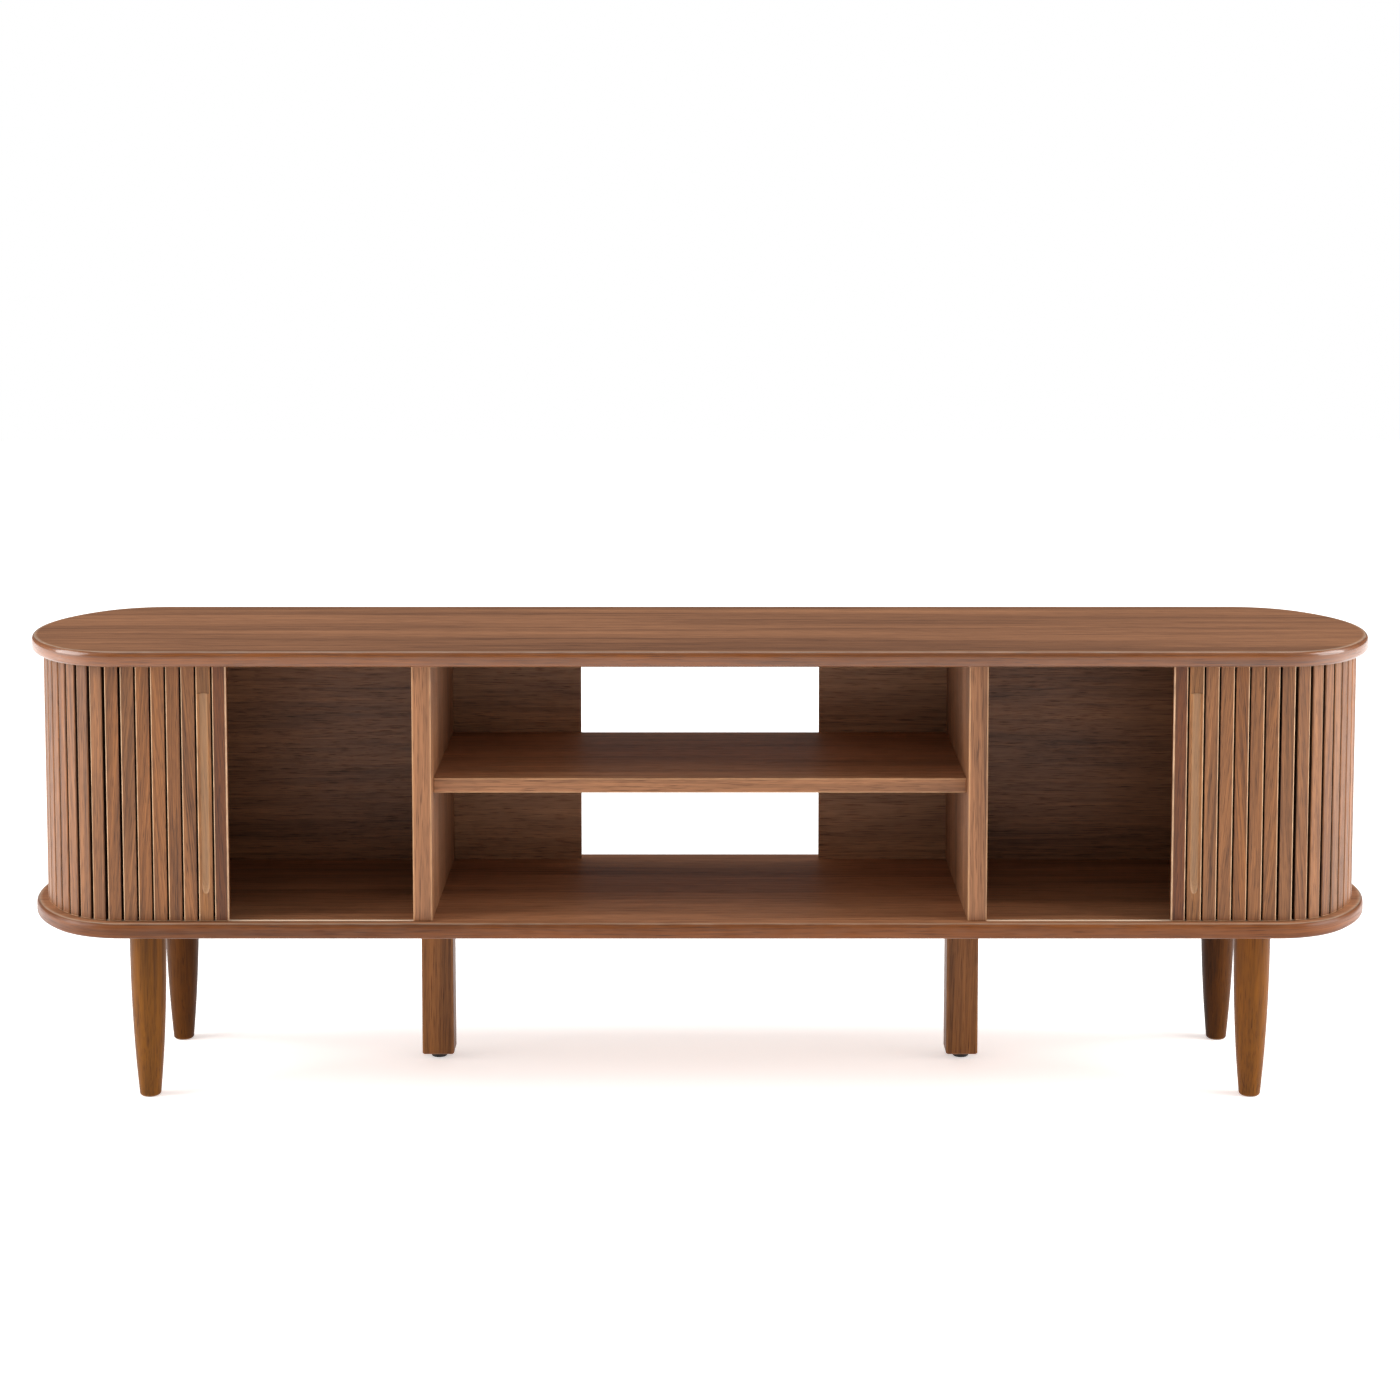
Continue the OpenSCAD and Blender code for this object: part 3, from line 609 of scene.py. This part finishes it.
# A slab is rings from the middle of its underside, out round its edge and back to the middle of its top.
# Each row of the profile is inset, height, tone, arris, core and the share of the groove's depth taken off.
def slabSkin(low, high, grooveOnTop, cut):
    outline = ovalOutline()
    inset = abs(slatOut + slatThick / 2 + depthHalf)
    near, far = inset - slab["grooveWidth"] / 2, inset + slab["grooveWidth"] / 2
    nick = slab["nick"]
    groove = [    # inset, share of the depth, bare core; the core here is a painted highlight on the groove's lip and walls
        (near - 0.0008, 0, 0), (near - 0.0002, 0, 0.7), (near, 0, 0.7), (near + nick, 1, 0.3),
        (near + nick * 2, 1, 0.3), (far - nick * 2, 1, 0.5), (far - nick, 1, 1), (far, 0, 1),
        (far + 0.0009, 0, 0.8), (far + 0.0012, 0, 0.0),
    ]
    faceTone, bandTone = slab["faceTone"], slab["bandTone"]

    # From the face to the upright edge: at each angle the edge is in by 1 - sin and down by the fall of cos
    def edgeRows(rounding, z, sign):
        deep, tall = rounding
        first = math.radians(slab["crispness"])
        edge = []
        for step in np.linspace(first, math.pi / 2, slab["edgeRows"]):
            drop = (math.cos(first) - math.cos(step)) / math.cos(first) * tall
            inward = (1 - math.sin(step)) / (1 - math.sin(first)) * deep
            # The first row, at the crisp arris, is lightened as a painted highlight and carries the dark
            # glue line
            wearAndHighlight, darkening = (slab["glueWear"], slab["glueLine"]) if step == first else (slab["bandWear"], 0)
            edge.append((inward, z - sign * drop, bandTone, wearAndHighlight, darkening, 0))
        return edge

    # A face from its middle out to its rim, with the groove on the way where it has one
    def faceRows(rounding, z, grooved):
        rows = [(depthHalf * slab["middleInset"], z, faceTone, 0, 0, 0)]
        if grooved:
            rows += [(place, z, faceTone, 0, core, share) for place, share, core in groove[::-1]]
        rows.append((rounding[0] + slab["innerInset"], z, faceTone, 0, 0, 0))
        # the face's rim is lightened: part of the painted highlight along the arris
        rows.append((rounding[0] + slab["rimInset"], z, faceTone, slab["rimWear"], 0, 0))
        return rows

    lower, upper = slab["lowerRound"], slab["upperRound"]
    underside = faceRows(lower, low, not grooveOnTop)
    below = underside + edgeRows(lower, low, -1)
    above = edgeRows(upper, high, 1)[::-1] + faceRows(upper, high, grooveOnTop)[::-1]
    profile = np.array(below + above)
    depth = slab["grooveDepth"] * (-1 if grooveOnTop else 1)
    sink = profile[:, 5][:, None] * outline["grooved"] * depth
    flat = outline["centre"] + outline["way"] * (outline["radius"] - profile[:, 0][:, None])[..., None]
    z = profile[:, 1][:, None] + sink
    rings = np.concatenate([flat, z[..., None]], axis=-1)
    run = np.concatenate([rings, rings[:, :1]], axis=1)
    plan = run + cut["start"]
    grain = np.stack([plan[:-1], plan[1:]], axis=1)
    walk = np.linalg.norm(np.diff(run[len(below) - 1], axis=0), axis=-1)
    along = np.concatenate([[0], np.cumsum(walk)])
    for band in range(len(underside), len(below) + slab["edgeRows"] - 1):
        for side in (0, 1):
            wrapped = np.stack([along, run[band + side][:, 2], np.zeros(len(along))], axis=-1)
            grain[band, side] = wrapped + cut["start"][::-1]
    marks = np.broadcast_to(profile[:, None, 2:5], rings.shape).copy()
    marks[..., 2] = np.where(marks[..., 2] > 0, marks[..., 2] * outline["grooved"], marks[..., 2])
    return skin(rings, grain, perBand(marks))


# The top slab's groove is in its underside and the bottom slab's is in its top
def makeSlabs():
    top = slabSkin(topLow.z, topHigh.z, False, newCut())
    bottom = slabSkin(slabLow.z, slabHigh.z, True, newCut())
    makePiece("topSlab", [top], "topSlab", "carcass", ["top_slab"], sharp=20)
    makePiece("bottomSlab", [bottom], "bottomSlab", "carcass", ["bottom_slab"], sharp=20)


# Name, direction of the grain, radius of the arrises, tone of the front band where there is one, and finish
boards = {
    "left_divider": ("leftDivider", "z", 0.0014, 1.0, "board"),
    "right_divider": ("rightDivider", "z", 0.0014, 1.0, "board"),
    "shelf": ("shelf", "x", 0.0012, 1.0, "board"),
    "left_bay_back": ("leftBayBack", "x", 0.0006, None, "back"),
    "right_bay_back": ("rightBayBack", "x", 0.0006, None, "back"),
    "left_centre_back": ("leftCentreBack", "x", 0.0006, None, "paleBack"),
    "right_centre_back": ("rightCentreBack", "x", 0.0006, None, "paleBack"),
    "left_centre_leg": ("leftCentreLeg", "z", 0.0022, None, "post"),
    "right_centre_leg": ("rightCentreLeg", "z", 0.0022, None, "post"),
}


# Each board fills the box of its node
def makeBoards():
    for node, (name, axis, radius, bandTone, finish) in boards.items():
        low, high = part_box(node)
        part = boardSkin(low, high, axis, radius, newCut(boardLook["lean"]), bandTone)
        makePiece(name, [part], finish, "carcass", [node])


roundLeg = {
    "topRadius": 0.022, "footRadius": 0.013, "power": 2.2, "around": 56, "rings": 40,
    "footRound": 0.004, "footRows": 7, "footFlat": 0.003, "footWear": 0.3, "lean": 0.02,
}


# A turned leg: radius(f) = top - (top - foot) * (1 - f) ** power up its height, with a quarter round below
def legSkin(cx, cy, top, cut):
    foot, big, bend = roundLeg["footRadius"], roundLeg["topRadius"], roundLeg["footRound"]
    turn = np.radians(np.linspace(0, 90, roundLeg["footRows"]))
    footR, footZ = foot - bend * (1 - np.sin(turn)), bend * (1 - np.cos(turn))
    f = np.linspace(0, 1, roundLeg["rings"])[1:]
    sole = foot - bend - roundLeg["footFlat"]
    radius = np.concatenate([[sole], footR, big - (big - foot) * (1 - f) ** roundLeg["power"]])
    height = np.concatenate([[0], footZ, bend + (top - bend) * f])
    way = np.linspace(0, 2 * math.pi, roundLeg["around"], endpoint=False)
    x = cx + radius[:, None] * np.cos(way)
    y = cy + radius[:, None] * np.sin(way)
    z = np.broadcast_to(height[:, None], x.shape)
    rings = np.stack([x, y, z], axis=-1)
    grain = np.stack([z, x + z * cut["lean"], y], axis=-1) + cut["start"]
    marks = np.zeros(rings.shape)
    marks[..., 0] = cut["tone"]
    marks[1:roundLeg["footRows"] - 1, :, 1] = roundLeg["footWear"]
    return skin(rings, perBand(grain), perBand(marks))


# Each round leg stands at the middle of its node's box and is as tall as the box
def makeRoundLegs():
    for node in ("front_left_leg", "front_right_leg", "rear_left_leg", "rear_right_leg"):
        low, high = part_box(node)
        words = node.split("_")
        name = words[0] + words[1].title() + "Leg"
        part = legSkin((low.x + high.x) / 2, (low.y + high.y) / 2, high.z, newCut(roundLeg["lean"]))
        # the rear legs take the darker copy: painted shade
        finish = "rearLeg" if words[0] == "rear" else "leg"
        makePiece(name, [part], finish, "carcass", [node])


# Slats are counted from 0, the stile. The handle slat is 1, and those up to lastLead stay on the straight.
tambour = {
    "pitch": 0.018, "gap": 0.0022, "stileWide": 0.0166, "handleWide": 0.017, "lastLead": 6, "lastSlat": 38,
    "chamfer": 0.0010, "stileChamfer": 0.0016, "easing": 0.0005, "support": 0.0003, "lean": 0.10,
    "facePoints": 9, "faceShare": 0.983, "faceMargin": 0.0025, "endDraw": 0.0007, "endSupport": 0.0006,
}
recess = {
    "radius": 0.0055, "lift": 0.001, "long": 0.244, "runOut": 0.022, "runOutSteps": 14, "leaving": 0.998,
    "bare": 0.20, "headRows": (0.0016, 0.0015, 0.0002), "headShade": (-0.9, -0.35, -0.25),
}
# On the slats, the pale chamfer towards the cabinet's end and the pale end chamfers are painted highlight,
# the near-black side walls are painted shade in the gaps, and the stile's broader inner arris is lightened
slatWearAndPaintedLight = {"stile": 0.9, "arris": 0.95, "end": 0.9, "wallGlue": -0.95}
tongue = {
    "thick": 0.0038, "tall": 0.005, "round": 0.0006, "roundSteps": 3, "support": 0.0002, "rooted": 0.001,
    "endDraw": 0.0004, "endShare": 0.93, "marks": (0.4, 0.2, 0),
}
canvasSheet = {
    "thick": 0.0005, "lift": 0.00002, "round": 0.00015, "roundSteps": 2, "support": 0.0003,
    "margin": 0.003, "gap": 0.00004,
}
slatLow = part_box("right_slat_08")[0].z
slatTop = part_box("right_slat_08")[1].z
openX = stileLow.x
canvasCorner = slab["cornerRadius"] - (depthHalf + slatIn)
canvasEnd = slab["endRadius"] - (depthHalf + slatIn)


# Point and outward angle at distance s along the canvas line: a straight, a corner arc, the end arc,
# a corner arc and a straight. On an arc the angle is its first angle + s / radius.
def trackPoint(s):
    cornerRun = canvasCorner * (math.pi / 2 - meetAngle)
    endRun = canvasEnd * 2 * meetAngle
    if s < cornerX:
        return s, slatIn, -math.pi / 2
    s -= cornerX
    for cx, cy, radius, first, run in (
        (cornerX, -cornerY, canvasCorner, -math.pi / 2, cornerRun),
        (endX, 0, canvasEnd, -meetAngle, endRun),
        (cornerX, cornerY, canvasCorner, meetAngle, cornerRun),
    ):
        if s < run:
            way = first + s / radius
            return cx + radius * math.cos(way), cy + radius * math.sin(way), way
        s -= run
    return cornerX - s, -slatIn, math.pi / 2


# Slat k's middle as a distance along the track, and its width: stile, handle slat, then one pitch each
def slatPlace(k):
    wide = [tambour["stileWide"], tambour["handleWide"]][k] if k < 2 else tambour["pitch"] - tambour["gap"]
    start = openX + [0, tambour["stileWide"] + tambour["gap"]][min(k, 1)]
    if k > 1:
        start += tambour["handleWide"] + tambour["gap"] + tambour["pitch"] * (k - 2)
    return start + wide / 2, wide


# A skin of local points (along the track, outwards negative, height) put on the left or right door's track:
# they are turned by its angle and moved to its point. The left door is mirrored, so its rings run backwards.
def trackSkin(local, place, side, grain, marks):
    px, py, way = place
    x = px - local[..., 0] * np.sin(way) - local[..., 1] * np.cos(way)
    y = py + local[..., 0] * np.cos(way) - local[..., 1] * np.sin(way)
    placed = np.stack([x * side, y, local[..., 2]], axis=-1)
    if side < 0:
        placed, grain, marks = placed[:, ::-1], grain[:, ::-1], marks[:, ::-1]
    return skin(placed, perBand(grain), perBand(marks))


# Where the parts of a slat's section are among its points, in the order that slatSection gives them
sectionParts = {
    "face": slice(2, 11), "front": slice(1, 12), "chamfers": [0, 12, 13, 20],
    "farWall": [14, 15], "nearWall": [18, 19],
}


# A slat's section: the outer face between two chamfers, the sides, and a slightly eased inner face.
# The outer face has its own run of points, so that the finger recess can sink them.
def slatSection(wide, chamferIn, chamferOut):
    half, ease, near = wide / 2, tambour["easing"], tambour["support"]
    reach = min(recess["radius"] * tambour["faceShare"], half - tambour["faceMargin"])
    face = np.linspace(-1, 1, tambour["facePoints"]) * reach
    left, right = -half + chamferIn, half - chamferOut
    front = -slatThick
    xs = np.concatenate([[left, left + near], face, [right - near, right, half, half, half, half - ease]])
    xs = np.concatenate([xs, [-half + ease, -half, -half, -half]])
    ys = np.full(tambour["facePoints"] + 4, front)
    ys = np.concatenate([ys, [front + chamferOut, front + chamferOut + near, -ease, 0]])
    ys = np.concatenate([ys, [0, -ease, front + chamferIn + near, front + chamferIn]])
    return xs, ys


# The slat is its section carried up, drawn in at both ends. A finger recess is a round-nosed cut: its depth
# at x is sqrt(r^2 - x^2) - lift, and the lift grows at the lower end until the cutter has left the face.
def slatSkin(side, k, cut, recessed=False):
    s, wide = slatPlace(k)
    chamferIn = tambour["stileChamfer"] if k == 0 else tambour["chamfer"]
    xs, ys = slatSection(wide, chamferIn, tambour["chamfer"])
    endDraw, endSupport = tambour["endDraw"], tambour["endDraw"] + tambour["endSupport"]
    radius, lift = recess["radius"], recess["lift"]
    face = sectionParts["face"]
    middle = (slatLow + slatTop) / 2
    stations = [(slatLow, endDraw, None), (slatLow + endDraw, 0, None), (slatLow + endSupport, 0, None)]
    if recessed:    # each station is a height, how far the section is drawn in and the cutter's lift
        foot, head = middle - recess["long"] / 2, middle + recess["long"] / 2
        rise = np.linspace(1, 0, recess["runOutSteps"])
        lifts = lift + (radius * recess["leaving"] - lift) * rise ** 2
        stations += [(foot + recess["runOut"] * (1 - step), 0, up) for step, up in zip(rise, lifts)]
        stations += [(head - below, 0, lift) for below in recess["headRows"]] + [(head, 0, None)]
    stations += [(slatTop - endSupport, 0, None), (slatTop - endDraw, 0, None), (slatTop, endDraw, None)]
    rings, sunk = [], []
    for z, drawn, up in stations:
        x, y = xs.copy(), ys.copy()
        depth = np.zeros(len(xs))
        if up is not None:
            x[face] = np.linspace(-1, 1, tambour["facePoints"]) * math.sqrt(radius ** 2 - up ** 2)
            depth[face] = np.sqrt(radius ** 2 - x[face] ** 2) - up
        x = x * (1 - 2 * drawn / wide)
        y = -slatThick / 2 + (y + depth + slatThick / 2) * (1 - 2 * drawn / slatThick)
        rings.append(np.stack([x, y, np.full(len(x), z)], axis=-1))
        sunk.append(depth)
    local = np.array(rings)
    inner = slatWearAndPaintedLight["stile"] if k == 0 else 0.0
    marks = np.zeros(local.shape)
    marks[..., 0] = cut["tone"]
    # the chamfer towards the cabinet's end, where the side light falls, is lightened as a painted highlight;
    # the other chamfer stays unlightened, apart from the stile's inner arris
    marks[:, sectionParts["chamfers"], 1] = [inner, slatWearAndPaintedLight["arris"], slatWearAndPaintedLight["arris"], inner]
    # the end chamfers are lightened: painted highlight of the bright bevel line
    marks[[0, 1, -2, -1], :, 1] = slatWearAndPaintedLight["end"]
    # the sunk face of the recess is lightened: paler cut wood, and painted light that the recess catches
    marks[..., 2] = np.where(np.array(sunk) > 0.0001, recess["bare"], 0)
    # the side walls in the gaps are near-black: painted shade between the slats, left off the stile's open
    # side
    marks[:, sectionParts["farWall"], 2] = slatWearAndPaintedLight["wallGlue"]
    marks[:, sectionParts["nearWall"], 2] = 0 if k == 0 else slatWearAndPaintedLight["wallGlue"]
    if recessed:    # shade at the recess's square head: the last row in it and the two above it
        marks[-5:-2, sectionParts["front"], 2] = np.array(recess["headShade"])[:, None]
    across = local[..., 0] + (local[..., 2] - middle) * cut["lean"]
    grain = np.stack([local[..., 2], across, local[..., 1]], axis=-1) + cut["start"]
    return trackSkin(local, trackPoint(s), side, grain, marks)


# Tongues that run in both tracks: a small rounded bar below and above a slat
def tongueSkins(side, k, cut):
    s, wide = slatPlace(k)
    half = wide / 2 - 2 * tambour["chamfer"]
    middle = -slatThick / 2
    low, high = middle - tongue["thick"] / 2, middle + tongue["thick"] / 2
    rounding = (tongue["round"], tongue["roundSteps"], tongue["support"])
    outline = roundedRectangle(-half, half, low, high, *rounding)
    drawn = tongue["endShare"]
    factor = np.array([drawn, 1, 1, drawn])[:, None, None]
    flat = np.array([0, middle]) + (outline - np.array([0, middle])) * factor
    parts = []
    for foot, head in (
        (slatLow - tongue["tall"], slatLow + tongue["rooted"]),
        (slatTop - tongue["rooted"], slatTop + tongue["tall"]),
    ):
        local = raised(flat, np.array([foot, foot + tongue["endDraw"], head - tongue["endDraw"], head]))
        grain = local[..., [2, 0, 1]] + cut["start"]
        marks = np.zeros(local.shape) + tongue["marks"]
        parts.append(trackSkin(local, trackPoint(s), side, grain, marks))
    return parts


# A strip of the canvas that the slats are glued to, one slat's share wide and bent as the track is there:
# each point of its outline is put on the track at its own distance
def canvasSkin(side, k):
    s, wide = slatPlace(k)
    half = (wide + tambour["gap"] - canvasSheet["gap"]) / 2
    first = -wide / 2 if k == 0 else -half
    last = wide / 2 if k == tambour["lastSlat"] else half
    rounding = (canvasSheet["round"], canvasSheet["roundSteps"], canvasSheet["support"])
    outline = roundedRectangle(first, last, canvasSheet["lift"], canvasSheet["thick"], *rounding)
    heights = np.array([slatLow + canvasSheet["margin"], slatTop - canvasSheet["margin"]])
    local = raised(np.broadcast_to(outline, (2,) + outline.shape), heights)
    grain = np.stack([local[..., 2], local[..., 0] + s, local[..., 1]], axis=-1)
    places = np.array([trackPoint(s + across) for across in outline[:, 0]]).T
    return trackSkin(local * [0, 1, 1], places, side, grain, np.zeros(local.shape))


# Piece name from a node name, such as left_slats_12_13 to leftSlats12to13
def pieceName(node):
    words = node.split("_")
    text = words[0] + words[1].title()
    if words[-1].isdigit():
        return text + "to".join(words[2:])
    return text + "".join(word.title() for word in words[2:])


# Each node of slats becomes one piece, numbered as its node is, and each body has its own strip of canvas
def makeDoors():
    for side, label in ((-1, "left"), (1, "right")):
        door = label + "_door"
        lead = list(range(2, tambour["lastLead"] + 1))
        numbers = {label + "_door_stile": [0], label + "_handle_slat": [1], label + "_lead_slats": lead}
        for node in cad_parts:
            words = node.split("_")
            if words[0] == label and words[1].startswith("slat") and words[2].isdigit():
                numbers[node] = list(range(int(words[2]) - 1, int(words[-1])))
        canvas = {}
        for node in sorted(numbers, key=lambda n: numbers[n][0]):
            parts = []
            body = node if numbers[node][0] > tambour["lastLead"] else door
            for k in numbers[node]:
                cut = newCut(tambour["lean"])
                parts.append(slatSkin(side, k, cut, recessed=k == 1))
                if body == door:
                    parts += tongueSkins(side, k, cut)
                canvas.setdefault(body, []).append(canvasSkin(side, k))
            finish = {0: "stile", 1: "handle"}.get(numbers[node][0], "slat")
            makePiece(pieceName(node), parts, finish, body, [node], sharp=35)
        for body, strips in canvas.items():
            name = pieceName(body) + "Canvas"
            replaced = [label + "_door_canvas"] if body == door else []
            makePiece(name, strips, "canvas", body, replaced)


hardware = {
    "left_levelling_foot": "plastic", "right_levelling_foot": "plastic",
    "leg_inserts": "zinc", "leg_bolts": "zinc",
    "divider_dowels": "beechUpright", "shelf_dowels": "beechAcross", "door_stops": "beechUpright",
}


# The small hardware keeps its own meshes and only takes a finish
def finishHardware():
    for node, finish in hardware.items():
        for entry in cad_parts[node].material_slots:
            entry.material = finishes[finish]


# One square at height 0, which stays out of the export
def makeFloor():
    half = backdrop["floorSize"] / 2
    mesh = bpy.data.meshes.new("floor")
    corners = [(-half, -half, 0), (half, -half, 0), (half, half, 0), (-half, half, 0)]
    mesh.from_pydata(corners, [], [(0, 1, 2, 3)])
    mesh.materials.append(floorMaterial())
    floor = bpy.data.objects.new("floor", mesh)
    bpy.context.scene.collection.objects.link(floor)


bpy.context.scene.view_settings.view_transform = "Standard"
placeCamera()
placeLights()
makeSky()
makeFloor()
print("stage set")
makeSlabs()
makeBoards()
makeRoundLegs()
print("carcass pieces made")
makeDoors()
finishHardware()
print("doors made")
